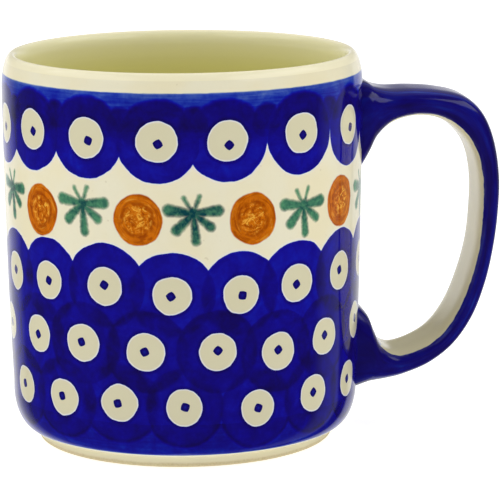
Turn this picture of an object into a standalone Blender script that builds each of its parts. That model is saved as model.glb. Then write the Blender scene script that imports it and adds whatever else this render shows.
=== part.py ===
# Stoneware mug: turned cup, strap handle and the two slip joints that hold the handle.
# Metres, +Z up. The mug stands on z = 0 and the handle points along +X.
import math

import bmesh
import bpy

mm = 0.001

# driving dimensions
rimRadius = 46.0 * mm            # widest point of the wall, just below the lip
mugHeight = 99.5 * mm
lipHeight = 8.6 * mm             # the part of the wall that curves in to the lip
lipCrestRadius = 43.3 * mm
wallThickness = 4.5 * mm
baseRadius = 44.4 * mm           # wall radius just above the bottom corner
wallBow = 0.3 * mm               # the wall swells this much halfway up
cornerTop = 13.0 * mm            # height where the bottom corner meets the wall
cornerInset = 4.8 * mm
footHeight = 3.2 * mm
footRadius = 38.0 * mm
footRingWidth = 4.2 * mm
recessDepth = 1.6 * mm           # hollow underside inside the foot ring
floorHeight = 6.6 * mm           # inner floor above the table
innerCorner = 8.0 * mm
handleReach = 81.6 * mm          # from the turning axis to the outside of the handle
handleWidth = 20.6 * mm
rootSpread = 1.13                # the strap's ends are this much wider than its middle
pieceGap = 0.3 * mm
slipThickness = 1.3 * mm

# derived dimensions
axisX = -(handleReach - rimRadius) / 2   # turning axis, so that the origin is under the middle
lipStart = mugHeight - lipHeight
innerRim = rimRadius - wallThickness
halfWidth = handleWidth / 2
turnSteps = 64
sectionSteps = 20
stationSteps = 2
sideSquareness = 0.50            # below 1 the strap's section is squarer than an oval
faceSquareness = 0.70

colours = {
    "body": ((0.80, 0.76, 0.58, 1.0), 0.22),
    "handle": ((0.03, 0.04, 0.30, 1.0), 0.20),
    "upper_slip_joint": ((0.06, 0.06, 0.26, 1.0), 0.25),
    "lower_slip_joint": ((0.06, 0.06, 0.26, 1.0), 0.25),
}


def clearScene():
    for item in list(bpy.data.objects):
        bpy.data.objects.remove(item, do_unlink=True)


def wallRadiusAt(z):
    # outer radius of the wall, from the bottom corner to the start of the lip
    if z < cornerTop:
        drop = min(1.0, (cornerTop - z) / (cornerTop - footHeight))
        return baseRadius - cornerInset * (1.0 - math.sqrt(max(0.0, 1.0 - drop * drop)))
    part = min(1.0, (z - cornerTop) / (lipStart - cornerTop))
    swell = 4.0 * wallBow * part * (1.0 - part)
    return baseRadius + (rimRadius - baseRadius) * part + swell


def quarter(count):
    return [math.pi / 2 * step / count for step in range(1, count + 1)]


def cupOutline():
    # half section of the cup, from the underside's centre round to the floor's centre
    ringInner = footRadius - footRingWidth
    points = [(0.0, recessDepth)]
    points.append((ringInner - 1.4 * mm, recessDepth))
    points.append((ringInner - 0.4 * mm, recessDepth * 0.6))
    points.append((ringInner, 0.0))
    points.append((footRadius - 0.7 * mm, 0.0))
    points.append((footRadius - 0.1 * mm, 0.5 * mm))
    points.append((footRadius, footHeight - 0.7 * mm))
    points.append((footRadius + 0.6 * mm, footHeight - 0.05 * mm))
    lowRadius = baseRadius - cornerInset
    for angle in quarter(7):
        radius = lowRadius + cornerInset * math.sin(angle)
        height = footHeight + (cornerTop - footHeight) * (1.0 - math.cos(angle))
        points.append((radius, height))
    for step in range(1, 7):
        height = cornerTop + (lipStart - cornerTop) * step / 6
        points.append((wallRadiusAt(height), height))
    for angle in quarter(6):
        radius = rimRadius - (rimRadius - lipCrestRadius) * (1.0 - math.cos(angle))
        points.append((radius, lipStart + lipHeight * math.sin(angle)))
    for angle in quarter(4):
        radius = lipCrestRadius - (lipCrestRadius - innerRim) * math.sin(angle)
        points.append((radius, mugHeight - 3.6 * mm * (1.0 - math.cos(angle))))
    innerBase = baseRadius - wallThickness
    bend = floorHeight + innerCorner
    for step in range(1, 5):
        height = mugHeight - 3.6 * mm + (bend - mugHeight + 3.6 * mm) * step / 4
        radius = wallRadiusAt(height) - wallThickness
        points.append((min(radius, innerRim), height))
    for angle in quarter(6):
        radius = innerBase - innerCorner * (1.0 - math.cos(angle))
        points.append((radius, floorHeight + innerCorner * (1.0 - math.sin(angle))))
    points.append((0.0, floorHeight - 0.2 * mm))
    return points


def finishMesh(name, points, faces):
    mesh = bpy.data.meshes.new(name)
    mesh.from_pydata(points, [], faces)
    build = bmesh.new()
    build.from_mesh(mesh)
    bmesh.ops.remove_doubles(build, verts=build.verts, dist=1e-6)
    bmesh.ops.recalc_face_normals(build, faces=build.faces)
    if build.calc_volume(signed=True) < 0:
        bmesh.ops.reverse_faces(build, faces=build.faces)
    build.to_mesh(mesh)
    build.free()
    item = bpy.data.objects.new(name, mesh)
    bpy.context.scene.collection.objects.link(item)
    return item


def turned(name, outline, steps):
    # revolve a half section whose first and last points lie on the axis
    points = []
    faces = []
    inner = outline[1:-1]
    for step in range(steps):
        angle = 2.0 * math.pi * step / steps
        for radius, height in inner:
            points.append((axisX + radius * math.cos(angle), radius * math.sin(angle), height))
    low = len(points)
    points.append((axisX, 0.0, outline[0][1]))
    high = len(points)
    points.append((axisX, 0.0, outline[-1][1]))
    count = len(inner)
    for step in range(steps):
        here = step * count
        there = ((step + 1) % steps) * count
        for row in range(count - 1):
            faces.append((here + row, there + row, there + row + 1, here + row + 1))
        faces.append((low, there, here))
        faces.append((high, here + count - 1, there + count - 1))
    return finishMesh(name, points, faces)


def smoothLine(knots, steps):
    # Catmull-Rom curve through the knots
    line = []
    last = len(knots) - 1
    for index in range(last):
        before = knots[max(0, index - 1)]
        start = knots[index]
        end = knots[index + 1]
        after = knots[min(last, index + 2)]
        for step in range(steps):
            t = step / steps
            value = []
            for a, b, c, d in zip(before, start, end, after):
                curve = 2.0 * b + (c - a) * t
                curve += (2.0 * a - 5.0 * b + 4.0 * c - d) * t * t
                curve += (3.0 * b - a - 3.0 * c + d) * t * t * t
                value.append(curve / 2.0)
            line.append(value)
    line.append(list(knots[-1]))
    return line


def handleStations():
    # outer edge x, z; inner edge x, z; half width. Distances from the turning axis.
    reach = handleReach / mm
    half = halfWidth / mm
    wide = half * rootSpread
    flared = (half + wide) / 2
    knots = [
        (43.0, 91.8, 43.0, 65.5, wide),
        (46.8, 90.9, 46.8, 72.0, wide),
        (49.4, 89.6, 49.3, 76.8, flared),
        (53.2, 88.9, 53.2, 80.2, half),
        (59.0, 88.9, 58.6, 81.8, half),
        (66.0, 88.3, 64.4, 81.4, half),
        (72.6, 86.5, 69.1, 79.0, half),
        (77.3, 82.1, 73.0, 74.9, half),
        (80.2, 75.0, 75.2, 70.0, half),
        (reach, 65.6, 76.2, 63.0, half),
        (81.3, 56.0, 76.0, 55.0, half),
        (80.0, 46.6, 75.2, 47.0, half),
        (77.9, 37.6, 73.1, 39.0, half),
        (74.6, 29.0, 69.9, 31.2, half),
        (69.7, 21.9, 65.4, 25.1, half),
        (63.3, 16.9, 60.0, 21.8, half),
        (56.3, 14.1, 54.4, 20.5, half),
        (51.6, 13.1, 50.4, 22.7, flared),
        (48.6, 12.7, 48.3, 27.0, wide),
        (46.8, 12.3, 46.8, 30.4, wide),
        (42.6, 10.8, 42.6, 34.5, wide),
    ]
    return smoothLine(knots, stationSteps)


def strap(name):
    points = []
    faces = []
    stations = handleStations()
    for outX, outZ, inX, inZ, half in stations:
        midX = (outX + inX) / 2
        midZ = (outZ + inZ) / 2
        for step in range(sectionSteps):
            angle = 2.0 * math.pi * (step + 0.5) / sectionSteps
            side = math.copysign(abs(math.cos(angle)) ** sideSquareness, math.cos(angle))
            rise = math.copysign(abs(math.sin(angle)) ** faceSquareness, math.sin(angle))
            x = midX + rise * (outX - inX) / 2
            z = midZ + rise * (outZ - inZ) / 2
            points.append((axisX + x * mm, side * half * mm, z * mm))
    last = len(stations) - 1
    for row in range(last):
        for step in range(sectionSteps):
            a = row * sectionSteps + step
            b = row * sectionSteps + (step + 1) % sectionSteps
            faces.append((a, b, b + sectionSteps, a + sectionSteps))
    faces.append(tuple(range(sectionSteps)))
    faces.append(tuple(last * sectionSteps + step for step in range(sectionSteps)))
    return finishMesh(name, points, faces)


def cutterBody(offset):
    # the wall grown outwards, as a closed solid that swallows the strap's buried ends
    outline = [(0.0, 2.0 * mm)]
    for step in range(0, 25):
        height = 4.0 * mm + (lipStart + 3.0 * mm - 4.0 * mm) * step / 24
        outline.append((wallRadiusAt(height) + offset, height))
    outline.append((0.0, lipStart + 4.0 * mm))
    item = turned("wall_cutter", outline, 144)
    item.hide_render = True
    item.display_type = "WIRE"
    return item


def wallShell(inside, outside, low, high):
    # a sector of the wall's surface, grown outwards, that a slip pad is cut from
    points = []
    faces = []
    rows = 14
    columns = 10
    for offset in (inside, outside):
        for row in range(rows + 1):
            height = low + (high - low) * row / rows
            radius = wallRadiusAt(height) + offset
            for column in range(columns + 1):
                angle = math.radians(-20.0 + 40.0 * column / columns)
                x = axisX + radius * math.cos(angle)
                points.append((x, radius * math.sin(angle), height))
    width = columns + 1
    layer = width * (rows + 1)
    for row in range(rows):
        for column in range(columns):
            a = row * width + column
            faces.append((a, a + 1, a + width + 1, a + width))
            b = a + layer
            faces.append((b, b + width, b + width + 1, b + 1))
    for column in range(columns):
        top = rows * width + column
        faces.append((column, column + layer, column + layer + 1, column + 1))
        faces.append((top, top + 1, top + layer + 1, top + layer))
    for row in range(rows):
        left = row * width
        right = left + columns
        faces.append((left, left + width, left + width + layer, left + layer))
        faces.append((right, right + layer, right + width + layer, right + width))
    return finishMesh("wall_shell", points, faces)


def padPlug(low, high, half, spread):
    # plug across the wall that gives a slip pad its outline: low, high and half are its
    # size at the handle, and it spreads down, up and sideways towards the wall
    points = []
    faces = []
    steps = 32
    down, up, aside = spread
    face = wallRadiusAt((low + high) / 2) + pieceGap + slipThickness
    for x in (40.0 * mm, 50.0 * mm):
        grow = (face - x) / slipThickness
        bottom = low - grow * down
        top = high + grow * up
        for step in range(steps):
            angle = 2.0 * math.pi * (step + 0.5) / steps
            side = math.copysign(abs(math.cos(angle)) ** 0.75, math.cos(angle))
            rise = math.copysign(abs(math.sin(angle)) ** 0.85, math.sin(angle))
            height = (bottom + top) / 2 + rise * (top - bottom) / 2
            points.append((axisX + x, side * (half + grow * aside), height))
    for step in range(steps):
        after = (step + 1) % steps
        faces.append((step, after, after + steps, step + steps))
    faces.append(tuple(range(steps)))
    faces.append(tuple(range(steps, 2 * steps)))
    return finishMesh("pad_plug", points, faces)


def applyBoolean(item, other, kind):
    change = item.modifiers.new("cut", "BOOLEAN")
    change.operation = kind
    change.solver = "EXACT"
    change.object = other
    bpy.context.view_layer.update()
    graph = bpy.context.evaluated_depsgraph_get()
    mesh = bpy.data.meshes.new_from_object(item.evaluated_get(graph))
    item.modifiers.clear()
    item.data = mesh
    bpy.data.objects.remove(other, do_unlink=True)


def keepLargest(item):
    # the cut leaves the buried tips as loose lumps: keep the strap itself
    build = bmesh.new()
    build.from_mesh(item.data)
    bmesh.ops.remove_doubles(build, verts=build.verts, dist=1e-6)
    unseen = set(build.verts)
    groups = []
    while unseen:
        stack = [unseen.pop()]
        group = []
        while stack:
            vertex = stack.pop()
            group.append(vertex)
            for edge in vertex.link_edges:
                other = edge.other_vert(vertex)
                if other in unseen:
                    unseen.remove(other)
                    stack.append(other)
        groups.append(group)
    groups.sort(key=len)
    for group in groups[:-1]:
        bmesh.ops.delete(build, geom=group, context="VERTS")
    bmesh.ops.triangulate(build, faces=build.faces)
    bmesh.ops.recalc_face_normals(build, faces=build.faces)
    if build.calc_volume(signed=True) < 0:
        bmesh.ops.reverse_faces(build, faces=build.faces)
    build.to_mesh(item.data)
    build.free()


def slipPad(name, low, high, half, spread):
    shell = wallShell(pieceGap, pieceGap + slipThickness, low - 5.0 * mm, high + 5.0 * mm)
    shell.name = name
    applyBoolean(shell, padPlug(low, high, half, spread), "INTERSECT")
    keepLargest(shell)
    return shell


def paint(item):
    colour, roughness = colours[item.name]
    material = bpy.data.materials.new(item.name)
    material.use_nodes = True
    shader = material.node_tree.nodes["Principled BSDF"]
    shader.inputs["Base Color"].default_value = colour
    shader.inputs["Roughness"].default_value = roughness
    shader.inputs["Metallic"].default_value = 0.0
    material.diffuse_color = colour
    item.data.materials.clear()
    item.data.materials.append(material)


def smooth(item):
    item.data.shade_smooth()
    item.data.set_sharp_from_angle(angle=math.radians(38.0))


clearScene()
body = turned("body", cupOutline(), turnSteps)
handle = strap("handle")
applyBoolean(handle, cutterBody(2.0 * pieceGap + slipThickness), "DIFFERENCE")
keepLargest(handle)
upperSpread = (2.6 * mm, 1.2 * mm, 0.35 * mm)
lowerSpread = (1.2 * mm, 1.8 * mm, 0.35 * mm)
upperSlip = slipPad("upper_slip_joint", 73.4 * mm, 90.6 * mm, 11.6 * mm, upperSpread)
lowerSlip = slipPad("lower_slip_joint", 12.1 * mm, 30.6 * mm, 11.8 * mm, lowerSpread)
for piece in (body, handle, upperSlip, lowerSlip):
    paint(piece)
    smooth(piece)
    print(piece.name, len(piece.data.polygons), "faces")
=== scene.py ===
# Stoneware mug with sponge-stamped cobalt discs, an orange and green garland and a strap handle.
import bpy
import math
import random
import numpy as np
from mathutils import Matrix, Vector


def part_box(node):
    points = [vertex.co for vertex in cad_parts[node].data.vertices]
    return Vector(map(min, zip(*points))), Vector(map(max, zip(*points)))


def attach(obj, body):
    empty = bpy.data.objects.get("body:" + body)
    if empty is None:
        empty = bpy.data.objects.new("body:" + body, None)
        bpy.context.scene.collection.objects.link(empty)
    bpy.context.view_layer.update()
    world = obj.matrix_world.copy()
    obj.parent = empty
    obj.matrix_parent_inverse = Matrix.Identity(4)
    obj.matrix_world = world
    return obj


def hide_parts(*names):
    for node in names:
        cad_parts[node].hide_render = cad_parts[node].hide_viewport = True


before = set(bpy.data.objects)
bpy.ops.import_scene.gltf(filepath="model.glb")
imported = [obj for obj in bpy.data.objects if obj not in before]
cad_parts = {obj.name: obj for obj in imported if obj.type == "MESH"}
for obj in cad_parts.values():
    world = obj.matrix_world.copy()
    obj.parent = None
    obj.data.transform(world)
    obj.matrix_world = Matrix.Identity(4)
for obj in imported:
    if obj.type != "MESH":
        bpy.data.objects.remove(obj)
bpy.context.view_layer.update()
mm = 0.001

# the turning axis and the size come from the CAD body
bodyLow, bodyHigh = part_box("body")
axisX = (bodyLow[0] + bodyHigh[0]) / 2
rimRadius = (bodyHigh[1] - bodyLow[1]) / 2
mugHeight = bodyHigh[2]


def newMaterial(name):
    material = bpy.data.materials.new(name)
    material.use_nodes = True
    tree = material.node_tree
    shader = tree.nodes["Principled BSDF"]
    return material, tree, shader


def feed(tree, socket, value):
    # a socket takes either another node's output or a plain value
    if isinstance(value, bpy.types.NodeSocket):
        tree.links.new(value, socket)
    else:
        socket.default_value = value


def calc(tree, kind, *values, clamp=False):
    node = tree.nodes.new("ShaderNodeMath")
    node.operation = kind
    node.use_clamp = clamp
    for socket, value in zip(node.inputs, values):
        feed(tree, socket, value)
    return node.outputs[0]


def plus(tree, first, second):
    return calc(tree, "ADD", first, second)


def minus(tree, first, second):
    return calc(tree, "SUBTRACT", first, second)


def times(tree, first, second):
    return calc(tree, "MULTIPLY", first, second)


def larger(tree, first, second):
    return calc(tree, "MAXIMUM", first, second)


def fade(tree, value, start, end, low=0.0, high=1.0):
    # goes smoothly from low to high as value goes from start to end
    node = tree.nodes.new("ShaderNodeMapRange")
    node.interpolation_type = "SMOOTHSTEP"
    for socket, item in zip(node.inputs, (value, start, end, low, high)):
        feed(tree, socket, item)
    return node.outputs[0]


def tint(tree, amount, first, second):
    # mixes two colours
    node = tree.nodes.new("ShaderNodeMix")
    node.data_type = "RGBA"
    feed(tree, node.inputs[0], amount)
    feed(tree, node.inputs[6], first)
    feed(tree, node.inputs[7], second)
    return node.outputs[2]


def grain(tree, place, size, detail=2.0, roughness=0.5, distortion=0.0):
    # noise whose blotches are about size millimetres across
    node = tree.nodes.new("ShaderNodeTexNoise")
    feed(tree, node.inputs["Vector"], place)
    node.inputs["Scale"].default_value = 1.0 / size
    node.inputs["Detail"].default_value = detail
    node.inputs["Roughness"].default_value = roughness
    node.inputs["Distortion"].default_value = distortion
    return node.outputs[0]


def spread(tree, value, amount):
    # turns noise from 0..1 into plus or minus amount
    return times(tree, minus(tree, value, 0.5), 2.0 * amount)


def combine(tree, x, y, z):
    node = tree.nodes.new("ShaderNodeCombineXYZ")
    for socket, value in zip(node.inputs, (x, y, z)):
        feed(tree, socket, value)
    return node.outputs[0]


def roundTheMug(tree):
    # angle in degrees (0 at the handle), height and radius in mm, and the place in mm
    coordinates = tree.nodes.new("ShaderNodeTexCoord")
    scale = tree.nodes.new("ShaderNodeVectorMath")
    scale.operation = "SCALE"
    tree.links.new(coordinates.outputs["Object"], scale.inputs[0])
    scale.inputs["Scale"].default_value = 1000.0
    parts = tree.nodes.new("ShaderNodeSeparateXYZ")
    tree.links.new(scale.outputs[0], parts.inputs[0])
    angle = calc(tree, "ARCTAN2", parts.outputs[1], parts.outputs[0])
    angle = times(tree, angle, 180.0 / math.pi)
    square = times(tree, parts.outputs[0], parts.outputs[0])
    square = calc(tree, "MULTIPLY_ADD", parts.outputs[1], parts.outputs[1], square)
    radius = calc(tree, "SQRT", square)
    return angle, parts.outputs[2], radius, scale.outputs[0]


glaze = {
    "cream": (0.80, 0.755, 0.57, 1.0),
    "creamWarm": (0.80, 0.73, 0.50, 1.0),
    "cloudSize": 14.0,
    "freckle": (0.70, 0.64, 0.45, 1.0),
    "speck": (0.40, 0.30, 0.16, 1.0),
    # the deep and rim lining colours are shaded and lit copies of the lining's cream: painted shade with
    # warm interreflection, and painted light
    "liningDeepShade": (0.75, 0.71, 0.27, 1.0),
    "liningLitRim": (0.92, 0.88, 0.56, 1.0),
    "turningMark": (0.62, 0.56, 0.27, 1.0),
    # lip: a lighter copy of the cream, painted light on the lip, the lining and the foot's glaze
    "lip": (0.90, 0.84, 0.60, 1.0),
    "eye": (0.63, 0.59, 0.40, 1.0),
    "halo": (0.74, 0.74, 0.80, 1.0),
    "soak": (9.4, 6.9, 1.03),      # how strongly one coat of cobalt takes out red, green and blue
    "stain": (0.0068, 0.0030),     # a little red and green is always left
    "roughness": 0.07,
    "glossDrift": 0.03,            # unevenness in the gloss
    "ior": 1.5,
    "ripple": 0.035 * mm,
    "rippleSize": 7.0,
    "peelSize": 0.8,               # the fine orange peel
    "deepBelow": 11.0,             # the lining has its full painted shade this far below the rim
}

bareClay = {
    "pale": (0.74, 0.65, 0.41, 1.0),
    "dark": (0.62, 0.52, 0.30, 1.0),
    "stain": (0.66, 0.53, 0.36, 1.0),
    "bareAndShadeBand": (1.5, 0.8),           # bare, darker clay begins between these heights, set high enough to paint the contact shade along the bottom too
    "roughness": 0.75,
}


def creamColour(tree, place):
    cloud = grain(tree, place, glaze["cloudSize"], 3.0)
    base = tint(tree, fade(tree, cloud, 0.35, 0.7), glaze["cream"], glaze["creamWarm"])
    fine = grain(tree, place, 0.9, 2.0)
    base = tint(tree, fade(tree, fine, 0.55, 0.85, 0.0, 0.18), base, glaze["freckle"])
    speck = grain(tree, place, 1.0, 0.0)
    return tint(tree, fade(tree, speck, 0.82, 0.90, 0.0, 0.22), base, glaze["speck"])


def cobaltOver(tree, ground, coats):
    # the glaze's cobalt darkens the ground like a dye: each coat multiplies it
    parts = tree.nodes.new("ShaderNodeSeparateColor")
    tree.links.new(ground, parts.inputs[0])
    result = tree.nodes.new("ShaderNodeCombineColor")
    for index, soak in enumerate(glaze["soak"]):
        left = calc(tree, "EXPONENT", times(tree, coats, -soak))
        value = times(tree, parts.outputs[index], left)
        if index < 2:
            dyed = fade(tree, coats, 0.2, 0.9, 0.0, glaze["stain"][index])
            value = plus(tree, value, dyed)
        tree.links.new(value, result.inputs[index])
    return result.outputs[0]


def glazeFinish(tree, shader, place, relief=None, matter=0.0):
    # glossy clear glaze with slow ripples and fine orange peel
    slow = grain(tree, place, glaze["rippleSize"], 1.0)
    peel = grain(tree, place, glaze["peelSize"], 1.0)
    height = calc(tree, "MULTIPLY_ADD", peel, 0.08, slow)
    if relief is not None:
        height = calc(tree, "MULTIPLY_ADD", relief, 0.35, height)
    bump = tree.nodes.new("ShaderNodeBump")
    bump.inputs["Strength"].default_value = 0.6
    bump.inputs["Distance"].default_value = glaze["ripple"]
    tree.links.new(height, bump.inputs["Height"])
    tree.links.new(bump.outputs[0], shader.inputs["Normal"])
    gloss = grain(tree, place, 3.0, 3.0)
    value = plus(tree, spread(tree, gloss, glaze["glossDrift"]), glaze["roughness"] + matter)
    tree.links.new(value, shader.inputs["Roughness"])
    shader.inputs["IOR"].default_value = glaze["ior"]


# the stamped pattern: angles are in degrees round the mug from the handle, sizes in mm
wallPaint = {
    "wallRadius": 45.6,
    "bandTop": 95.0,          # the brushed band under the lip
    "bandLow": 85.5,
    "bandCoats": 0.49,
    "hemTop": 12.5,           # the brushed hem above the foot
    "hemLow": 4.0,
    "hemCoats": 0.88,
    "washTop": 48.5,
    "crossing": 0.62,         # how much a second disc darkens the one below it
    "wobble": 0.42,           # how far a stamp's edge strays
    "edgeCoats": 0.12,        # a disc is this much darker at its edge
    "ringCoats": 0.55,        # and this much round its eye
    "deeperFrom": 79.0,       # the upper discs darken from here
    "deeperTo": 88.0,
    "blotchSize": 4.5,
    "blotch": 0.58,
    "sponge": 0.14,
    "dotSize": 2.1,
    "streak": 0.34,           # how uneven the brushed bands are
    "waver": 0.35,            # and how far their edges stray
    "runStart": 85.0,         # from here up the discs' edges run into the brushed band
    "runEnd": 88.5,
    "fullBelow": 92.5,        # the band thins out above this
    "fullAbove": 8.0,         # and the hem below this
}

# first: where the row begins. slips: how many degrees each stamp strays. lifts: how far up in mm.
# bleed: how far in a second coat spreads. blur: how soft the row's edge is
upperDiscs = {
    "count": 15, "height": 83.3, "radius": 10.1, "eye": 5.15, "dot": (0.45, -0.65),
    "dotCoats": 0.75, "coats": 0.93, "seed": 11, "bleed": 2.6, "first": -173.5,
    "slips": (1.5, -1.0, -2.0, -3.0, -5.5, -3.7, -2.4),
    "lifts": (-0.1, 0.5, 0.3, -0.1, -0.2, 0.2, -0.3),
}
upperFillers = {
    "count": 15, "height": 87.4, "radius": 4.0, "eye": 0.0,
    "coats": 0.93, "seed": 23, "bleed": 2.6, "first": -161.5,
    "slips": (0.5, -1.5, -2.5, -4.0, -5.0, -3.0, -1.0),
    "lifts": (0.0, 0.3, -0.2, 0.1, 0.2, -0.1, 0.2),
}
lowerRowOne = {
    "count": 17, "height": 45.8, "radius": 10.7, "eye": 4.9, "dot": (-0.1, 0.0),
    "dotCoats": 0.62, "coats": 0.93, "seed": 37, "bleed": 1.2, "blur": 0.15, "first": -166.0,
    "slips": (0.5, 0.5, 1.5, 2.0, 2.5, 1.5, 2.0),
    "lifts": (0.4, 0.7, 1.2, -0.6, -0.8, 0.3, 0.8),
}
lowerRowTwo = {
    "count": 17, "height": 31.2, "radius": 10.7, "eye": 4.85, "dot": (0.0, 0.0),
    "dotCoats": 0.55, "coats": 1.02, "seed": 41, "bleed": 1.2, "blur": 0.50, "first": -174.5,
    "slips": (0.0, 2.5, 1.5, 2.0, 3.5, 3.0, 2.0, 4.0),
    "lifts": (0.6, 0.9, 0.8, -0.2, -0.3, -1.6, -0.3, 0.4),
}
lowerRowThree = {
    "count": 16, "height": 17.0, "radius": 10.4, "eye": 4.8, "dot": (-0.1, -0.1),
    "dotCoats": 0.55, "coats": 1.00, "seed": 53, "bleed": 1.5, "blur": 0.60, "first": -161.5,
    "slips": (0.0, -0.5, -1.5, -3.0, -1.5, -1.5, -2.0),
    "lifts": (0.2, 0.2, 0.7, 0.0, -1.2, 0.0, 0.2),
}
orangeDiscs = {
    "count": 10, "height": 63.9, "radius": 6.15, "seed": 61, "first": -146.5,
    "slips": (-0.5, -0.3, -0.3, 1.0, 0.5, -0.5, 0.8, 0.0, -0.8, -4.5),
    "lifts": (0.2, 0.0, -0.3, 0.6),
    "ringIn": (3.1, 3.9),          # the darker ring fades in and out between these radii
    "ringOut": (4.7, 4.0),
    "rosette": (4.2, 2.6),
    "edge": (5.3, 6.1),
    "arcSize": 0.85,
    "mottleSize": 1.5,
    "patchSize": 2.8,
    "mid": (0.60, 0.150, 0.003, 1.0),
    "dark": (0.28, 0.046, 0.001, 1.0),
    "light": (0.85, 0.43, 0.045, 1.0),
}
greenSprigs = {
    "count": 10, "height": 66.6, "seed": 71, "first": -165.3,
    "slips": (0.0, 0.0, -0.4, 1.0, 3.5, 0.6, -0.8, 0.5, 0.9, -1.0),
    "lifts": (1.0, 0.5, -1.0, -1.2, -0.8),
    "moods": (0.22, 0.28, -0.02, 0.32, 0.40),      # how watery the green is
    "dark": (0.004, 0.048, 0.060, 1.0),
    "light": (0.075, 0.25, 0.13, 1.0),
    "hub": 1.75,
    "blotchSize": 1.3,
    "watery": (1.2, 3.2),      # the upright petals grow watery between these heights over the hub
    # each petal: its direction in degrees, its length, and its half width at the tip
    "petals": (
        (120.0, 4.5, 0.62), (70.0, 4.5, 0.62), (172.0, 6.0, 1.60), (5.0, 6.0, 1.60),
        (225.0, 5.8, 1.50), (275.0, 6.9, 1.30), (321.0, 5.6, 1.28),
    ),
}


def strayCard(tree, row, key, cell, reach):
    # how far each stamp strays from its even place. Past the listed ones the stray drifts evenly
    # back to the first, with a little chance
    count = row["count"]
    hand = random.Random(row["seed"] + len(key))
    strays = [value / reach for value in row[key]]
    missing = count - len(strays)
    last, first = strays[-1], strays[0]
    for step in range(1, missing + 1):
        strays.append(last + (first - last) * step / (missing + 1) + hand.uniform(-0.05, 0.05))
    card = tree.nodes.new("ShaderNodeValToRGB")
    card.color_ramp.interpolation = "CONSTANT"
    stops = card.color_ramp.elements
    for index, stray in enumerate(strays):
        stop = stops[index] if index < 2 else stops.new(index / count)
        stop.position = index / count
        stop.color = (0.5, 0.5, 0.5, 0.5 + stray)
    fraction = calc(tree, "DIVIDE", plus(tree, cell, 0.5), float(count))
    tree.links.new(fraction, card.inputs[0])
    return minus(tree, card.outputs["Alpha"], 0.5)


def stampFinder(row):
    # a node group: from an angle and a height to the offset from one stamp's centre, and its chances
    tree = bpy.data.node_groups.new("stamp_finder", "ShaderNodeTree")
    for name in ("angle", "height", "shift"):
        tree.interface.new_socket(name, in_out="INPUT", socket_type="NodeSocketFloat")
    for name in ("across", "up", "chance 1", "chance 2", "chance 3"):
        tree.interface.new_socket(name, in_out="OUTPUT", socket_type="NodeSocketFloat")
    angle, height, shift = tree.nodes.new("NodeGroupInput").outputs[:3]
    count = float(row["count"])
    pitch = math.radians(360.0 / count) * wallPaint["wallRadius"]
    turned = calc(tree, "MULTIPLY_ADD", angle, count / 360.0, 0.5 - row["first"] * count / 360.0)
    turned = calc(tree, "FLOORED_MODULO", turned, count)
    index = plus(tree, calc(tree, "FLOOR", turned), shift)
    cell = calc(tree, "FLOORED_MODULO", index, count)
    slip = strayCard(tree, row, "slips", cell, 360.0 / count)
    centre = plus(tree, plus(tree, index, 0.5), slip)
    across = times(tree, minus(tree, turned, centre), pitch)
    lift = strayCard(tree, row, "lifts", cell, 5.0)
    up = minus(tree, height, calc(tree, "MULTIPLY_ADD", lift, 5.0, row["height"]))
    chance = tree.nodes.new("ShaderNodeTexWhiteNoise")
    chance.noise_dimensions = "1D"
    tree.links.new(plus(tree, cell, row["seed"] + 0.37), chance.inputs["W"])
    lots = tree.nodes.new("ShaderNodeSeparateColor")
    tree.links.new(chance.outputs["Color"], lots.inputs[0])
    found = [across, up, *lots.outputs]
    if "moods" in row:
        found[4] = strayCard(tree, row, "moods", cell, 1.0)
    result = tree.nodes.new("NodeGroupOutput")
    for socket, value in zip(result.inputs, found):
        tree.links.new(value, socket)
    return tree


def stampPlaces(tree, angle, height, row, shifts):
    # for each stamp near a point: its offset from the stamp's centre, and three random numbers
    finder = stampFinder(row)
    places = []
    for shift in shifts:
        node = tree.nodes.new("ShaderNodeGroup")
        node.node_tree = finder
        tree.links.new(angle, node.inputs["angle"])
        tree.links.new(height, node.inputs["height"])
        node.inputs["shift"].default_value = shift
        places.append((node.outputs[0], node.outputs[1], node.outputs[2:]))
    return places


def distanceFrom(tree, across, up):
    square = times(tree, across, across)
    return calc(tree, "SQRT", calc(tree, "MULTIPLY_ADD", up, up, square))


def dottedDiscs(tree, angle, height, wander, row, blur, paint):
    # adds one row of discs to what is painted already. Where two discs cross, the second coat
    # bleeds into the first, so only the outer edge of the whole row stays crisp
    for across, up, lots in stampPlaces(tree, angle, height, row, (-1, 0, 1)):
        stretch = plus(tree, spread(tree, lots[1], 0.04), 1.0)
        away = distanceFrom(tree, times(tree, across, stretch), up)
        away = plus(tree, away, wander)
        past = calc(tree, "DIVIDE", minus(tree, away, row["radius"]), blur)
        crisp = fade(tree, past, 1.0, -1.0)
        bled = fade(tree, away, row["radius"] + 0.3, row["radius"] - row["bleed"])
        # the sponge presses unevenly and leaves a little more at its edge
        rim = fade(tree, away, row["radius"] - 2.0, row["radius"] - 0.2, 0.0, wallPaint["edgeCoats"])
        load = plus(tree, rim, spread(tree, lots[2], 0.10))
        load = plus(tree, load, row["coats"])
        paint["coats"] = larger(tree, paint["coats"], times(tree, crisp, load))
        paint["sum"] = plus(tree, paint["sum"], bled)
        paint["most"] = larger(tree, paint["most"], bled)
        if row["eye"]:
            ring = fade(tree, away, row["eye"] + 1.0, row["eye"] + 0.1, 0.0, wallPaint["ringCoats"])
            eye = fade(tree, away, row["eye"] + 0.10, row["eye"] - 0.10)
            edge = fade(tree, away, row["eye"] - 0.60, row["eye"] - 0.12)
            paint["ring"] = larger(tree, paint["ring"], ring)
            paint["halo"] = larger(tree, paint["halo"], times(tree, edge, eye))
            paint["eyes"] = larger(tree, paint["eyes"], eye)
            outside = fade(tree, away, row["radius"] + 0.9, row["radius"] + 0.1)
            paint["rim"] = larger(tree, paint["rim"], outside)


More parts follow.
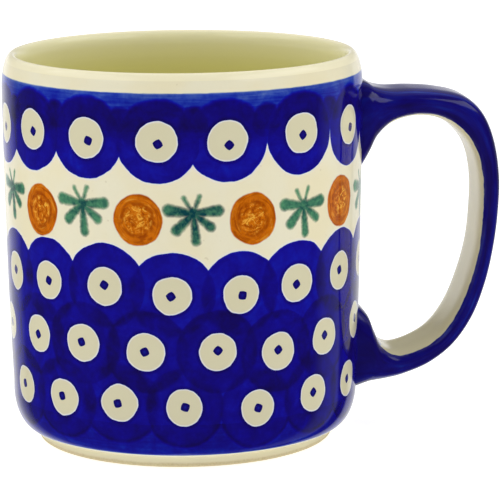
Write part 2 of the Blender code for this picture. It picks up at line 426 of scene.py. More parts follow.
def eyeDots(tree, angle, height, wander, row):
    # the small four-sided dot near the middle of each eye, turned a little by chance
    across, up, lots = stampPlaces(tree, angle, height, row, (0,))[0]
    dotX, dotY = row["dot"]
    across = minus(tree, across, plus(tree, spread(tree, lots[1], 0.45), dotX))
    up = minus(tree, up, plus(tree, spread(tree, lots[2], 0.35), dotY))
    turn = calc(tree, "MULTIPLY_ADD", lots[1], 1.2, 0.25)
    cosine = calc(tree, "COSINE", turn)
    sine = calc(tree, "SINE", turn)
    alongX = times(tree, across, cosine)
    alongX = calc(tree, "MULTIPLY_ADD", up, sine, alongX)
    alongY = times(tree, up, cosine)
    alongY = minus(tree, alongY, times(tree, across, sine))
    flat = larger(tree, calc(tree, "ABSOLUTE", alongX), calc(tree, "ABSOLUTE", alongY))
    away = plus(tree, flat, distanceFrom(tree, alongX, alongY))
    away = calc(tree, "MULTIPLY_ADD", wander, 0.5, away)
    dot = fade(tree, away, wallPaint["dotSize"] + 0.15, wallPaint["dotSize"] - 0.15)
    middle = fade(tree, away, 0.1, 1.7, row["dotCoats"], 1.25)
    return times(tree, dot, middle)


def orangeOver(tree, ground, angle, height, place, wander):
    # orange discs swirled on with the tip of a sponge: a darker ring, then a mottled rosette
    row = orangeDiscs
    across, up, lots = stampPlaces(tree, angle, height, row, (0,))[0]
    away = distanceFrom(tree, across, times(tree, up, 0.95))
    away = plus(tree, away, wander)
    heading = calc(tree, "ARCTAN2", up, across)
    spiral = calc(tree, "MULTIPLY_ADD", heading, 0.30, away)
    swirl = combine(tree, spiral, times(tree, heading, 0.9), times(tree, lots[1], 40.0))
    arcs = grain(tree, swirl, row["arcSize"], 2.0, 0.55, 0.6)
    mottle = grain(tree, place, row["mottleSize"], 3.0, 0.6, 1.2)
    wide = grain(tree, place, row["patchSize"], 2.0, 0.5, 1.5)
    colour = tint(tree, fade(tree, wide, 0.3, 0.7, 0.0, 0.40), row["mid"], row["dark"])
    colour = tint(tree, fade(tree, arcs, 0.50, 0.66, 0.0, 0.70), colour, row["dark"])
    colour = tint(tree, fade(tree, arcs, 0.44, 0.30, 0.0, 0.35), colour, row["light"])
    middle = fade(tree, away, *row["rosette"])
    pale = times(tree, middle, fade(tree, mottle, 0.50, 0.64, 0.0, 0.80))
    colour = tint(tree, pale, colour, row["light"])
    dents = times(tree, middle, fade(tree, mottle, 0.47, 0.36, 0.0, 0.8))
    colour = tint(tree, dents, colour, row["dark"])
    ring = fade(tree, away, *row["ringIn"])
    ring = times(tree, ring, fade(tree, away, *row["ringOut"]))
    ring = times(tree, ring, fade(tree, wide, 0.35, 0.6, 0.15, 0.7))
    colour = tint(tree, ring, colour, row["dark"])
    colour = tint(tree, fade(tree, away, *row["edge"], 0.0, 0.12), colour, row["dark"])
    disc = fade(tree, away, row["radius"] + 0.20, row["radius"] - 0.16)
    return tint(tree, disc, ground, colour)


def sprigsOver(tree, ground, angle, height, place, wander):
    # sprigs of seven brushed petals, thin and watery towards the tips
    row = greenSprigs
    across, up, lots = stampPlaces(tree, angle, height, row, (0,))[0]
    across = calc(tree, "MULTIPLY_ADD", wander, 0.45, across)
    up = calc(tree, "MULTIPLY_ADD", wander, -0.35, up)
    nearest = 9.0
    wet = 0.0
    for direction, length, tip in row["petals"]:
        cosine = math.cos(math.radians(direction))
        sine = math.sin(math.radians(direction))
        along = calc(tree, "MULTIPLY_ADD", up, sine, times(tree, across, cosine))
        side = calc(tree, "MULTIPLY_ADD", up, cosine, times(tree, across, -sine))
        part = calc(tree, "DIVIDE", along, length, clamp=True)
        beyond = calc(tree, "MULTIPLY_ADD", part, -length, along)
        away = distanceFrom(tree, beyond, side)
        base = 0.5 * tip + 0.18
        width = calc(tree, "MULTIPLY_ADD", part, tip - base, base)
        away = minus(tree, away, width)
        nearest = calc(tree, "MINIMUM", nearest, away)
        wet = larger(tree, wet, times(tree, part, fade(tree, away, 0.2, -0.2)))
    hub = minus(tree, distanceFrom(tree, across, up), row["hub"])
    nearest = calc(tree, "MINIMUM", nearest, hub)
    blotch = grain(tree, place, row["blotchSize"], 3.0, 0.55, 0.4)
    nearest = plus(tree, nearest, spread(tree, blotch, 0.30))
    petal = fade(tree, nearest, 0.32, -0.22)
    water = calc(tree, "MULTIPLY_ADD", wet, 0.42, fade(tree, blotch, 0.3, 0.75, -0.25, 0.45))
    water = plus(tree, water, fade(tree, up, *row["watery"], 0.0, 0.4))
    water = calc(tree, "ADD", water, lots[2], clamp=True)
    colour = tint(tree, water, row["dark"], row["light"])
    strength = fade(tree, nearest, 0.15, -0.7, 0.60, 1.0)
    return tint(tree, times(tree, petal, strength), ground, colour)


def brushedBand(tree, angle, height, place, low, high, coats):
    # a band brushed on while the mug turns: streaks run round it and its edges waver
    flow = combine(tree, times(tree, angle, 0.06), times(tree, height, 1.1), 3.0)
    streaks = grain(tree, flow, 1.0, 4.0, 0.65, 0.3)
    edge = combine(tree, times(tree, angle, 0.25), 0.0, 7.0)
    waver = spread(tree, grain(tree, edge, 1.0, 2.0), wallPaint["waver"])
    level = plus(tree, height, waver)
    top = fade(tree, level, high + 0.12, high - 0.12)
    foot = fade(tree, level, low - 0.12, low + 0.12)
    load = plus(tree, spread(tree, streaks, wallPaint["streak"]), coats)
    return times(tree, times(tree, top, foot), load)


def stampedMaterial(name, rows, garland=False, band=False, hem=False):
    # one zone of the wall: the rows of discs that reach it, and the garland or brushed bands
    material, tree, shader = newMaterial(name)
    angle, height, _, place = roundTheMug(tree)
    loose = spread(tree, grain(tree, place, 5.5, 1.0), wallPaint["wobble"])
    fine = spread(tree, grain(tree, place, 1.3, 1.0), 0.11)
    wander = plus(tree, loose, fine)
    paint = dict.fromkeys(("coats", "sum", "most", "ring", "halo", "eyes", "rim", "dots"), 0.0)
    for row in rows:
        blur = row.get("blur")
        if band:
            # over the brushed band a disc's edge runs into the colour below it
            blur = fade(tree, height, wallPaint["runStart"], wallPaint["runEnd"], 0.15, 0.75)
        dottedDiscs(tree, angle, height, wander, row, blur, paint)
        if row["eye"]:
            dot = eyeDots(tree, angle, height, fine, row)
            paint["dots"] = larger(tree, paint["dots"], dot)
    crossed = minus(tree, paint["sum"], paint["most"])
    crossed = calc(tree, "MINIMUM", crossed, 1.2)
    patchy = fade(tree, grain(tree, place, 6.0, 2.0), 0.35, 0.62, 0.35, 1.0)
    crossed = times(tree, crossed, patchy)
    coats = calc(tree, "MULTIPLY_ADD", crossed, wallPaint["crossing"], paint["coats"])
    # the brushed bands, and the thin wash that fills the chinks between discs
    if band:
        streaks = brushedBand(tree, angle, height, place, wallPaint["bandLow"], wallPaint["bandTop"],
                              wallPaint["bandCoats"])
        under = times(tree, fade(tree, paint["most"], 0.0, 1.0, 1.0, 0.35), streaks)
        level = plus(tree, height, loose)
        deeper = fade(tree, level, wallPaint["deeperFrom"], wallPaint["deeperTo"], 0.0, 0.42)
        coats = calc(tree, "MULTIPLY_ADD", deeper, paint["most"], plus(tree, coats, under))
        keep = fade(tree, height, wallPaint["bandTop"] + 0.1, wallPaint["bandTop"] - 0.4)
        thin = fade(tree, height, wallPaint["bandTop"], wallPaint["fullBelow"], 0.66, 1.0)
        keep = times(tree, keep, thin)
        coats = times(tree, coats, keep)
    if hem:
        streaks = brushedBand(tree, angle, height, place, wallPaint["hemLow"], wallPaint["hemTop"],
                              wallPaint["hemCoats"])
        under = times(tree, fade(tree, paint["most"], 0.0, 1.0, 1.0, 0.3), streaks)
        wash = fade(tree, height, wallPaint["washTop"], wallPaint["washTop"] - 1.5, 0.0, 0.6)
        coats = larger(tree, plus(tree, coats, under), wash)
        keep = fade(tree, height, wallPaint["hemLow"] - 0.1, wallPaint["hemLow"] + 0.4)
        thin = fade(tree, height, wallPaint["hemLow"], wallPaint["fullAbove"], 0.70, 1.0)
        keep = times(tree, keep, thin)
        coats = times(tree, coats, keep)
    blotch = grain(tree, place, wallPaint["blotchSize"], 3.0, 0.55, 0.5)
    sponge = grain(tree, place, 0.9, 2.0)
    uneven = spread(tree, blotch, wallPaint["blotch"])
    uneven = plus(tree, uneven, spread(tree, sponge, wallPaint["sponge"]))
    coats = times(tree, coats, plus(tree, uneven, 1.0))
    coats = plus(tree, coats, paint["ring"])
    reserve = minus(tree, 1.0, paint["eyes"])
    dots = times(tree, paint["dots"], paint["eyes"])
    coats = calc(tree, "MULTIPLY_ADD", coats, reserve, dots)
    ground = creamColour(tree, place)
    ground = tint(tree, times(tree, paint["eyes"], 0.85), ground, glaze["eye"])
    ground = tint(tree, times(tree, paint["halo"], 0.75), ground, glaze["halo"])
    outside = times(tree, paint["rim"], calc(tree, "MULTIPLY_ADD", paint["eyes"], -0.5, 0.5))
    ground = tint(tree, outside, ground, glaze["halo"])
    if garland:
        ground = orangeOver(tree, ground, angle, height, place, wander)
        ground = sprigsOver(tree, ground, angle, height, place, loose)
    colour = cobaltOver(tree, ground, coats)
    tree.links.new(colour, shader.inputs["Base Color"])
    glazeFinish(tree, shader, place, blotch)
    return material


def liningMaterial():
    material, tree, shader = newMaterial("cream_glaze")
    angle, height, radius, place = roundTheMug(tree)
    ground = creamColour(tree, place)
    # down inside the cup the lining is painted darker and yellower, and lighter near the rim: painted
    # shade with warm interreflection and painted light, partly glaze that lies thicker there
    inner = fade(tree, radius, 43.2, 41.7)
    # the lining's cream is lightened towards the lip colour: painted light
    ground = tint(tree, 0.75, ground, glaze["lip"])
    colour = tint(tree, times(tree, inner, 0.85), ground, glaze["liningLitRim"])
    inside = fade(tree, height, mugHeight / mm - 0.5, mugHeight / mm - glaze["deepBelow"])
    deepShade = times(tree, inside, inner)
    colour = tint(tree, deepShade, colour, glaze["liningDeepShade"])
    rings = combine(tree, times(tree, angle, 0.01), times(tree, height, 0.5), radius)
    turning = grain(tree, rings, 1.6, 2.0)
    colour = tint(tree, fade(tree, turning, 0.35, 0.75, 0.0, 0.14), colour, glaze["turningMark"])
    tree.links.new(colour, shader.inputs["Base Color"])
    glazeFinish(tree, shader, place, turning)
    return material


def footMaterial():
    material, tree, shader = newMaterial("foot_clay")
    height, radius, place = roundTheMug(tree)[1:]
    clayGrain = grain(tree, place, 0.5, 4.0, 0.7)
    patches = grain(tree, place, 9.0, 3.0)
    clay = tint(tree, fade(tree, clayGrain, 0.35, 0.75), bareClay["pale"], bareClay["dark"])
    clay = tint(tree, fade(tree, patches, 0.4, 0.7, 0.0, 0.3), clay, bareClay["stain"])
    # the ring is wiped bare below a wavering line, set high enough that its darker clay also paints the
    # contact shade along the bottom; the hollow inside it keeps its glaze
    edge = spread(tree, grain(tree, place, 4.0, 2.0), 0.25)
    bareAndShadeBelow = fade(tree, plus(tree, height, edge), *bareClay["bareAndShadeBand"])
    ringStart = cup["foot"] - cup["ringWidth"] - cup["recessRound"]
    hollow = fade(tree, radius, ringStart, ringStart + 0.8)
    bareClayAndShade = times(tree, bareAndShadeBelow, hollow)
    # the foot's glaze is lightened towards the lip colour: painted light
    cream = tint(tree, 0.75, creamColour(tree, place), glaze["lip"])
    colour = tint(tree, bareClayAndShade, cream, clay)
    tree.links.new(colour, shader.inputs["Base Color"])
    glazeFinish(tree, shader, place, times(tree, clayGrain, bareClayAndShade))
    gloss = tree.nodes.new("ShaderNodeMix")
    feed(tree, gloss.inputs[0], bareClayAndShade)
    gloss.inputs[2].default_value = glaze["roughness"] + 0.03
    feed(tree, gloss.inputs[3], calc(tree, "MULTIPLY_ADD", clayGrain, 0.2, bareClay["roughness"] - 0.1))
    tree.links.new(gloss.outputs[0], shader.inputs["Roughness"])
    return material


strapPaint = {
    # cream: a darker, duller copy of the cream glaze, painted shade on the strap's face that turns to the
    # cup
    "cream": (0.54, 0.485, 0.26, 1.0),
    "coats": 0.96,
    "creamHalfWidth": 9.1,
    "streak": 1.3,
    "hairSize": 1.7,
    "washSize": 7.0,
    "clearOf": 50.2,       # the cream begins this far from the turning axis
}


def strapMaterial():
    # cobalt brushed along the strap, left cream on the side that faces the cup
    material, tree, shader = newMaterial("brushed_cobalt")
    radius, place = roundTheMug(tree)[2:]
    flow = tree.nodes.new("ShaderNodeAttribute")
    flow.attribute_name = "strapFlow"
    parts = tree.nodes.new("ShaderNodeSeparateXYZ")
    tree.links.new(flow.outputs["Vector"], parts.inputs[0])
    along, across, inward = parts.outputs
    hairs = combine(tree, times(tree, along, 0.09), across, times(tree, inward, 3.0))
    streaks = grain(tree, hairs, strapPaint["hairSize"], 4.0, 0.6, 0.2)
    wash = grain(tree, place, strapPaint["washSize"], 2.0)
    load = plus(tree, spread(tree, streaks, strapPaint["streak"]), strapPaint["coats"])
    load = plus(tree, load, spread(tree, wash, 0.3))
    waver = spread(tree, grain(tree, place, 3.2, 2.0), 0.45)
    reach = plus(tree, calc(tree, "ABSOLUTE", across), waver)
    flatFace = fade(tree, inward, 0.60, 0.72)
    edge = strapPaint["creamHalfWidth"]
    middle = fade(tree, reach, edge + 0.15, edge - 0.15)
    # near the wall the brush goes all the way round
    start = strapPaint["clearOf"]
    clear = fade(tree, plus(tree, radius, waver), start, start + 0.7)
    cream = times(tree, times(tree, flatFace, middle), clear)
    coats = times(tree, load, minus(tree, 1.0, cream))
    # the strap's cream is darkened towards that duller cream: painted shade
    ground = tint(tree, 0.6, creamColour(tree, place), strapPaint["cream"])
    colour = cobaltOver(tree, ground, coats)
    tree.links.new(colour, shader.inputs["Base Color"])
    glazeFinish(tree, shader, place, streaks, 0.05)
    return material


slipPaint = {"coats": 1.35, "uneven": 0.45, "blotch": 3.0}


def slipMaterial():
    material, tree, shader = newMaterial("cobalt_slip")
    place = roundTheMug(tree)[3]
    wash = grain(tree, place, slipPaint["blotch"], 3.0)
    load = plus(tree, spread(tree, wash, slipPaint["uneven"]), slipPaint["coats"])
    colour = cobaltOver(tree, creamColour(tree, place), load)
    tree.links.new(colour, shader.inputs["Base Color"])
    glazeFinish(tree, shader, place, wash)
    return material


cup = {
    "height": mugHeight / mm,
    "rim": rimRadius / mm,
    "lipHeight": 8.6,
    "lipCrest": 43.3,    # radius of the lip's highest ring
    "wall": 4.5,
    "base": 44.4,        # radius of the wall just above its bottom corner
    "bow": 0.3,          # the wall swells this much halfway up
    "cornerTop": 13.0,
    "cornerInset": 4.8,
    "foot": 38.0,
    "footHeight": 3.2,
    "ringWidth": 4.2,
    "recess": 1.6,
    "recessRound": 1.6,
    "footRound": 0.7,
    "footStep": 0.8,     # the small fillet where the foot ring meets the cup
    "rimRound": 3.6,     # the lip's inner edge comes down this far as it rounds over
    "middle": 0.6,       # the innermost ring's radius, closed with a fan
    "floor": 6.6,
    "innerCorner": 8.0,
    "steps": 224,
    "wander": 0.07,      # hand turning leaves the wall this much out of round
}

# heights where the wall changes from one zone of pattern to the next
zones = {"garlandLow": 51.2, "garlandHigh": 72.6}


def wallRadiusAt(z):
    lipStart = cup["height"] - cup["lipHeight"]
    if z < cup["cornerTop"]:
        drop = min(1.0, (cup["cornerTop"] - z) / (cup["cornerTop"] - cup["footHeight"]))
        return cup["base"] - cup["cornerInset"] * (1.0 - math.sqrt(max(0.0, 1.0 - drop * drop)))
    part = min(1.0, (z - cup["cornerTop"]) / (lipStart - cup["cornerTop"]))
    return cup["base"] + (cup["rim"] - cup["base"]) * part + 4.0 * cup["bow"] * part * (1.0 - part)


def arc(count, make):
    return [make(math.pi / 2 * step / count) for step in range(1, count + 1)]


def line(start, end, count):
    steps = range(1, count + 1)
    return [(start[0] + (end[0] - start[0]) * s / count, start[1] + (end[1] - start[1]) * s / count)
            for s in steps]


def cupOutline():
    # the foot, the wall and the lining, each as radius and height from the underside's middle round
    high = cup["height"]
    lipStart = high - cup["lipHeight"]
    ring = cup["foot"] - cup["ringWidth"]
    hollowEnd = ring - cup["recessRound"]
    bevel = cup["footRound"]
    step = cup["footStep"]
    stepLow = cup["footHeight"] - step
    foot = [(cup["middle"], cup["recess"])]
    foot += line(foot[-1], (hollowEnd, cup["recess"]), 26)
    foot += arc(7, lambda a: (hollowEnd + 1.2 * math.sin(a), cup["recess"] * (0.5 + 0.5 * math.cos(a))))
    foot += arc(5, lambda a: (ring - 0.4 + 0.6 * (1 - math.cos(a)),
                              cup["recess"] * 0.5 * (1 - math.sin(a))))
    foot += line(foot[-1], (cup["foot"] - bevel, 0.0), 5)
    foot += arc(6, lambda a: (cup["foot"] - bevel + bevel * math.sin(a), bevel * (1 - math.cos(a))))
    foot += line(foot[-1], (cup["foot"], stepLow), 4)
    foot += arc(6, lambda a: (cup["foot"] + step * (1 - math.cos(a)), stepLow + step * math.sin(a)))
    foot += line(foot[-1], (cup["base"] - cup["cornerInset"], cup["footHeight"]), 2)
    rise = cup["cornerTop"] - cup["footHeight"]
    inset = cup["cornerInset"]
    wall = arc(20, lambda a: (cup["base"] - inset + inset * math.sin(a),
                              cup["footHeight"] + rise * (1 - math.cos(a))))
    heights = np.linspace(cup["cornerTop"], lipStart, 81)[1:]
    for height in zones.values():
        heights[np.argmin(np.abs(heights - height))] = height
    wall += [(wallRadiusAt(z), z) for z in heights]
    lean = cup["rim"] - cup["lipCrest"]
    lip = arc(22, lambda a: (cup["rim"] - lean * (1 - math.cos(a)),
                             lipStart + cup["lipHeight"] * math.sin(a)))
    wall += lip[:13]
    lining = lip[13:]
    innerRim = cup["rim"] - cup["wall"]
    turnIn = high - cup["rimRound"]
    lining += arc(14, lambda a: (cup["lipCrest"] - (cup["lipCrest"] - innerRim) * math.sin(a),
                                 high - cup["rimRound"] * (1 - math.cos(a))))
    bend = cup["floor"] + cup["innerCorner"]
    for z in np.linspace(turnIn, bend, 61)[1:]:
        lining.append((min(wallRadiusAt(z) - cup["wall"], innerRim), z))
    inner = cup["base"] - cup["wall"]
    corner = cup["innerCorner"]
    lining += arc(18, lambda a: (inner - corner * (1 - math.cos(a)),
                                 cup["floor"] + corner * (1 - math.sin(a))))
    lining += line(lining[-1], (cup["middle"], cup["floor"] - 0.2), 24)
    return foot, wall, lining


def turnedGrid(outline):
    # every ring of the outline, slightly out of round, with its normals
    angles = np.linspace(0.0, 2.0 * np.pi, cup["steps"], endpoint=False)
    radii = np.array([point[0] for point in outline])[:, None]
    heights = np.array([point[1] for point in outline])[:, None]
    turning = np.sin(heights / 5.3 + 0.7 * np.sin(angles)) * 0.5 + np.sin(heights / 11.0 + angles)
    wander = cup["wander"] * (np.sin(2 * angles + 0.6) + 0.5 * np.sin(3 * angles + heights / 40.0))
    wander = wander + cup["wander"] * 0.35 * turning
    grip = np.clip(radii / 40.0, 0.0, 1.0) * np.clip((heights - 4.0) / 12.0, 0.0, 1.0)
    radii = radii + wander * grip
    grid = np.stack([radii * np.cos(angles), radii * np.sin(angles), heights + 0.0 * angles], axis=2)
    around = np.roll(grid, -1, axis=1) - np.roll(grid, 1, axis=1)
    up = np.gradient(grid, axis=0)
    normals = np.cross(around, up)
    normals /= np.linalg.norm(normals, axis=2, keepdims=True)
    return grid * mm, normals


def ringMesh(name, grid, normals, closeFirst=False, closeLast=False):
    rows, steps, _ = grid.shape
    points = [tuple(p) for p in grid.reshape(-1, 3)]
    shading = [tuple(n) for n in normals.reshape(-1, 3)]
    faces = []
    for row in range(rows - 1):
        for step in range(steps):
            after = (step + 1) % steps
            a = row * steps
            faces.append((a + step, a + after, a + steps + after, a + steps + step))
    for wanted, row, flip in ((closeFirst, 0, True), (closeLast, rows - 1, False)):
        if wanted:
            centre = len(points)
            points.append(tuple(grid[row].mean(axis=0)))
            shading.append(tuple(normals[row].mean(axis=0)))
            for step in range(steps):
                after = (step + 1) % steps
                pair = (row * steps + step, row * steps + after)
                faces.append((centre,) + (pair[::-1] if flip else pair))
    mesh = bpy.data.meshes.new(name)
    mesh.from_pydata(points, [], faces)
    mesh.shade_smooth()
    mesh.normals_split_custom_set_from_vertices(shading)
    item = bpy.data.objects.new(name, mesh)
    item.location = (axisX, 0.0, 0.0)
    bpy.context.scene.collection.objects.link(item)
    return item


def putInPlace(item, material, slotName, *nodes):
    item.data.materials.append(material)
    bpy.context.view_layer.update()
    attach(item, "root")
    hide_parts(*nodes)


def makeCup():
    foot, wall, lining = cupOutline()
    outline = foot + wall + lining
    grid, normals = turnedGrid(outline)
    low = len(foot)
    high = low + len(wall)
    rows = range(low, high)
    garlandLow = min(rows, key=lambda row: abs(outline[row][1] - zones["garlandLow"]))
    garlandHigh = min(rows, key=lambda row: abs(outline[row][1] - zones["garlandHigh"]))
    lower = stampedMaterial("stamped_lower_rows", (lowerRowOne, lowerRowTwo, lowerRowThree), hem=True)
    middle = stampedMaterial("garland_glaze", (lowerRowOne,), garland=True)
    upper = stampedMaterial("stamped_upper_row", (upperDiscs, upperFillers), band=True)
    # neighbouring pieces share their edge ring, and its normals, so no seam shows
    pieces = (
        ("foot_ring_and_underside", 0, low, footMaterial()),
        ("lower_wall", low - 1, garlandLow + 1, lower),
        ("garland_wall", garlandLow, garlandHigh + 1, middle),
        ("upper_wall", garlandHigh, high, upper),
        ("lip_and_lining", high - 1, len(grid), liningMaterial()),
    )
    for name, start, end, material in pieces:
        item = ringMesh(name, grid[start:end], normals[start:end], start == 0, end == len(grid))
        putInPlace(item, material, "body", "body")
    print("cup made:", len(grid), "rings")


strap = {
    "half": 10.3,
    "spread": 1.13,      # the ends flare to this many times the width
    "side": 0.50,        # how square the strap's edges are
    "face": 0.70,        # and how flat its faces
    "section": 56,
    "stations": 9,       # sections between two knots
    "tremor": 0.0231,    # the pulled strap wanders this much in thickness
    "sway": 0.008,       # and this much in width
    "knots": (
        # outer edge x, z; inner edge x, z; how far the end's flare has begun
        (43.0, 91.8, 43.0, 65.5, 1.0),
        (46.8, 90.9, 46.8, 72.0, 1.0),
        (49.4, 89.6, 49.3, 76.8, 0.5),
        (53.2, 88.9, 53.2, 80.2, 0.0),
        (59.0, 88.9, 58.6, 81.8, 0.0),
        (66.0, 88.3, 64.4, 81.4, 0.0),
        (72.6, 86.5, 69.1, 79.0, 0.0),
        (77.3, 82.1, 73.0, 74.9, 0.0),
        (80.2, 75.0, 75.2, 70.0, 0.0),
        (81.6, 65.6, 76.2, 63.0, 0.0),
        (81.3, 56.0, 76.0, 55.0, 0.0),
        (80.0, 46.6, 75.2, 47.0, 0.0),
        (77.9, 37.6, 73.1, 39.0, 0.0),
        (74.6, 29.0, 69.9, 31.2, 0.0),
        (69.7, 21.9, 65.4, 25.1, 0.0),
        (63.3, 16.9, 60.0, 21.8, 0.0),
        (56.3, 14.1, 54.4, 20.5, 0.0),
        (51.6, 13.1, 50.4, 22.7, 0.5),
        (48.6, 12.7, 48.3, 27.0, 1.0),
        (46.8, 12.3, 46.8, 30.4, 1.0),
        (42.6, 10.8, 42.6, 34.5, 1.0),
    ),
}


def smoothLine(knots, steps):
    # Catmull-Rom curve through the knots
    points = np.array(knots)
    last = len(points) - 1
    result = []
    for index in range(last):
        a, b = points[max(0, index - 1)], points[index]
        c, d = points[index + 1], points[min(last, index + 2)]
        for step in range(steps):
            t = step / steps
            curve = 2 * b + (c - a) * t + (2 * a - 5 * b + 4 * c - d) * t * t
            result.append((curve + (3 * b - a - 3 * c + d) * t ** 3) / 2)
    result.append(points[last])
    return np.array(result)


def makeHandle():
    stations = smoothLine(strap["knots"], strap["stations"])
    count = strap["section"]
    angles = 2 * np.pi * (np.arange(count) + 0.5) / count
    side = np.sign(np.cos(angles)) * np.abs(np.cos(angles)) ** strap["side"]
    rise = np.sign(np.sin(angles)) * np.abs(np.sin(angles)) ** strap["face"]
    outer = stations[:, 0:2]
    inner = stations[:, 2:4]
    middle = (outer + inner) / 2
    length = np.concatenate([[0.0], np.cumsum(np.linalg.norm(np.diff(middle, axis=0), axis=1))])
    half = strap["half"] * (1 + (strap["spread"] - 1) * stations[:, 4])
    half = half * (1 + strap["sway"] * np.sin(length / 9.0 + 1.0))
    reach = 1 + strap["tremor"] * np.sin(length / 6.5 + 2.0)
    x = middle[:, 0:1] + rise * ((outer - inner)[:, 0:1] / 2) * reach[:, None]
    z = middle[:, 1:2] + rise * ((outer - inner)[:, 1:2] / 2) * reach[:, None]
    y = side * half[:, None]
    grid = np.stack([x, y, z], axis=2)
    around = np.roll(grid, -1, axis=1) - np.roll(grid, 1, axis=1)
    normals = np.cross(np.gradient(grid, axis=0), around)
    normals /= np.linalg.norm(normals, axis=2, keepdims=True)
    outward = normals * (grid - np.stack([middle[:, 0], 0 * length, middle[:, 1]], axis=1)[:, None, :])
    if outward.sum() < 0:
        normals = -normals
    item = ringMesh("strap_handle", grid * mm, normals, True, True)
    flow = item.data.attributes.new("strapFlow", "FLOAT_VECTOR", "POINT")
    # each point's distance along, across and towards the cup; the two end points stay at zero
    values = np.zeros((len(item.data.vertices), 3))
    values[:y.size, 0] = np.repeat(length, count)
    values[:y.size, 1] = y.ravel()
    values[:y.size, 2] = np.tile(-rise, len(stations))
    flow.data.foreach_set("vector", values.ravel())
    putInPlace(item, strapMaterial(), "handle", "handle")
    print("handle made:", len(stations), "sections")


slipShape = {"steps": 72, "levels": 12, "sunk": 0.5, "height": 2.7, "square": 0.5}

slipBeads = {
    # bottom, top and half width at the handle, then how far the slip runs down, up and aside
    "upper_slip_bead": ("upper_slip_joint", 73.9, 90.0, 11.2, 2.9, 1.6, 1.1),
    "lower_slip_bead": ("lower_slip_joint", 12.7, 30.0, 11.2, 1.7, 2.2, 1.1),
}


def makeSlipBeads():
    material = slipMaterial()
    steps = slipShape["steps"]
    levels = slipShape["levels"]
    for name, (node, low, high, half, down, up, aside) in slipBeads.items():
        rings = []
        for level in range(levels + 1):
            part = level / levels
            run = (1 - part) ** 2
            lift = slipShape["height"] * part - slipShape["sunk"]
            bottom = low - down * run
            top = high + up * run
            ring = []
            for step in range(steps):
                angle = 2 * math.pi * (step + 0.5) / steps
                square = slipShape["square"] + 0.3 * run
                side = math.copysign(abs(math.cos(angle)) ** square, math.cos(angle))
                rise = math.copysign(abs(math.sin(angle)) ** (square + 0.2), math.sin(angle))
                z = (bottom + top) / 2 + rise * (top - bottom) / 2
                y = side * (half + aside * run)
                radius = wallRadiusAt(z) + lift
                ring.append((math.sqrt(radius * radius - y * y), y, z))
            rings.append(ring)
        grid = np.array(rings)
        around = np.roll(grid, -1, axis=1) - np.roll(grid, 1, axis=1)
        normals = np.cross(around, np.gradient(grid, axis=0))
        normals /= np.linalg.norm(normals, axis=2, keepdims=True)
        item = ringMesh(name, grid * mm, normals, True, True)
        putInPlace(item, material, "slip", node)
    print("slip beads made")


view = {
    "lens": 212.1,
    "sensor": 36.0,
    "distance": 760.3,
    "azimuth": -8.0,
    "elevation": 11.22,
    "roll": 0.35,
    "aside": 17.08,      # the camera aims this far to the handle's side of the turning axis
    "aimHeight": 47.54,
}


def makeCamera():
    camera = bpy.data.cameras.new("studio_camera")
    camera.lens = view["lens"]
    camera.sensor_width = view["sensor"]
    camera.clip_start = 0.01
    camera.clip_end = 50.0
    item = bpy.data.objects.new("studio_camera", camera)
    bpy.context.scene.collection.objects.link(item)
    swing = math.radians(view["azimuth"])
    rise = math.radians(view["elevation"])
    right = Vector((math.cos(swing), math.sin(swing), 0.0))
    back = Vector((math.sin(swing) * math.cos(rise), -math.cos(swing) * math.cos(rise), math.sin(rise)))
    aim = Vector((axisX, 0.0, view["aimHeight"] * mm)) + right * view["aside"] * mm
    item.location = aim + back * view["distance"] * mm
    turn = (-back).to_track_quat("-Z", "Y").to_matrix().to_4x4()
    turn = turn @ Matrix.Rotation(math.radians(-view["roll"]), 4, "Z")
    item.rotation_euler = turn.to_euler()
    bpy.context.scene.camera = item
    print("camera set")


studio = {
    "floorColour": (0.62, 0.62, 0.615, 1.0),
    "floorFibre": (0.84, 0.84, 0.83, 1.0),
    "floorGlow": 0.72,
    "floorHalf": 4.0,
    "skyFront": 0.19,
    "skyBack": 1.10,
    "skyTop": 1.45,
}

# name, bearing from the handle, height, distance, size, power, and whether the glaze mirrors it
softboxes = (
    ("left_softbox", -168.0, 0.62, 0.60, (0.9, 0.34), 0.95, True),
    ("right_softbox", -22.0, 0.62, 0.60, (0.9, 0.34), 1.25, True),
    ("top_softbox", -98.0, 0.86, 0.30, (1.2, 0.5), 2.0, False),
)

# what the glaze mirrors at each bearing round the mug: degrees from the handle, brightness
surroundings = (
    (-180.0, 0.03), (-60.0, 0.01), (-2.0, 0.02), (7.0, 0.20), (26.0, 0.30), (29.0, 0.01), (42.0, 0.01),
    (46.0, 0.60), (60.0, 0.85), (106.0, 1.00), (118.0, 0.60), (127.0, 0.32), (133.0, 0.08), (160.0, 0.03),
    (180.0, 0.03),
)


def makeSoftbox(name, angle, height, reach, size, power, glossy):
    light = bpy.data.lights.new(name, "AREA")
    light.shape = "RECTANGLE"
    light.size = size[0]
    light.size_y = size[1]
    light.energy = power
    item = bpy.data.objects.new(name, light)
    bpy.context.scene.collection.objects.link(item)
    turn = math.radians(angle)
    item.location = (axisX + reach * math.cos(turn), reach * math.sin(turn), height)
    toward = Vector((axisX, 0.0, 0.06)) - item.location
    item.rotation_euler = toward.to_track_quat("-Z", "Y").to_euler()
    item.visible_camera = False
    item.visible_glossy = glossy


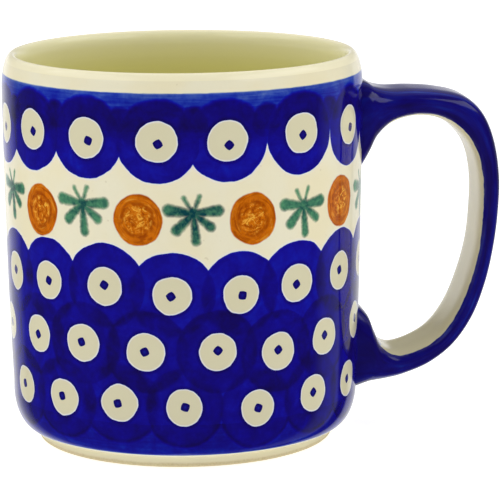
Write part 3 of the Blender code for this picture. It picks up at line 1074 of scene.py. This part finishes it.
def makeAir():
    # a white room, brighter behind the mug; its glaze mirrors darker surroundings with a few pale cards
    world = bpy.data.worlds.new("studio_air")
    world.use_nodes = True
    tree = world.node_tree
    sky = tree.nodes["Background"]
    sky.inputs["Color"].default_value = (1.0, 1.0, 1.0, 1.0)
    coordinates = tree.nodes.new("ShaderNodeTexCoord")
    parts = tree.nodes.new("ShaderNodeSeparateXYZ")
    tree.links.new(coordinates.outputs["Generated"], parts.inputs[0])
    bearing = calc(tree, "ARCTAN2", parts.outputs[1], parts.outputs[0])
    bearing = calc(tree, "MULTIPLY_ADD", bearing, 0.5 / math.pi, 0.5)
    card = tree.nodes.new("ShaderNodeValToRGB")
    card.color_ramp.interpolation = "LINEAR"
    stops = card.color_ramp.elements
    for index, (degrees, brightness) in enumerate(surroundings):
        position = degrees / 360.0 + 0.5
        stop = stops[index] if index < 2 else stops.new(position)
        stop.position = position
        stop.color = (brightness, brightness, brightness, 1.0)
    tree.links.new(bearing, card.inputs[0])
    overhead = fade(tree, parts.outputs[2], -0.02, 0.22, 1.0, 0.21)
    mirrored = times(tree, card.outputs[0], overhead)
    ray = tree.nodes.new("ShaderNodeLightPath")
    soft = fade(tree, parts.outputs[1], -0.9, 0.9, studio["skyFront"], studio["skyBack"])
    soft = times(tree, soft, fade(tree, parts.outputs[2], 0.1, 0.9, 1.0, studio["skyTop"]))
    whiter = minus(tree, 1.0, soft)
    strength = calc(tree, "MULTIPLY_ADD", ray.outputs["Is Camera Ray"], whiter, soft)
    change = minus(tree, mirrored, strength)
    strength = calc(tree, "MULTIPLY_ADD", ray.outputs["Is Glossy Ray"], change, strength)
    tree.links.new(strength, sky.inputs["Strength"])
    bpy.context.scene.world = world


def makeStudio():
    mesh = bpy.data.meshes.new("studio_floor")
    corner = studio["floorHalf"]
    level = -0.05 * mm       # just below the foot, so the two never touch
    mesh.from_pydata([(-corner, -corner, level), (corner, -corner, level), (corner, corner, level),
                      (-corner, corner, level)], [], [(0, 1, 2, 3)])
    floor = bpy.data.objects.new("studio_floor", mesh)
    bpy.context.scene.collection.objects.link(floor)
    material, tree, shader = newMaterial("studio_paper")
    coordinates = tree.nodes.new("ShaderNodeTexCoord")
    fibres = tree.nodes.new("ShaderNodeTexNoise")
    tree.links.new(coordinates.outputs["Object"], fibres.inputs["Vector"])
    fibres.inputs["Scale"].default_value = 30.0
    fleck = fade(tree, fibres.outputs[0], 0.3, 0.7, 0.0, 0.03)
    colour = tint(tree, fleck, studio["floorColour"], studio["floorFibre"])
    tree.links.new(colour, shader.inputs["Base Color"])
    shader.inputs["Roughness"].default_value = 0.9
    shader.inputs["Specular IOR Level"].default_value = 0.1
    shader.inputs["Emission Color"].default_value = (1.0, 1.0, 1.0, 1.0)
    shader.inputs["Emission Strength"].default_value = studio["floorGlow"]
    mesh.materials.append(material)
    floor.visible_glossy = False
    for softbox in softboxes:
        makeSoftbox(*softbox)
    makeAir()
    bpy.context.scene.view_settings.view_transform = "Standard"
    print("studio made")


makeCamera()
makeCup()
makeHandle()
makeSlipBeads()
makeStudio()

bpy.context.view_layer.update()
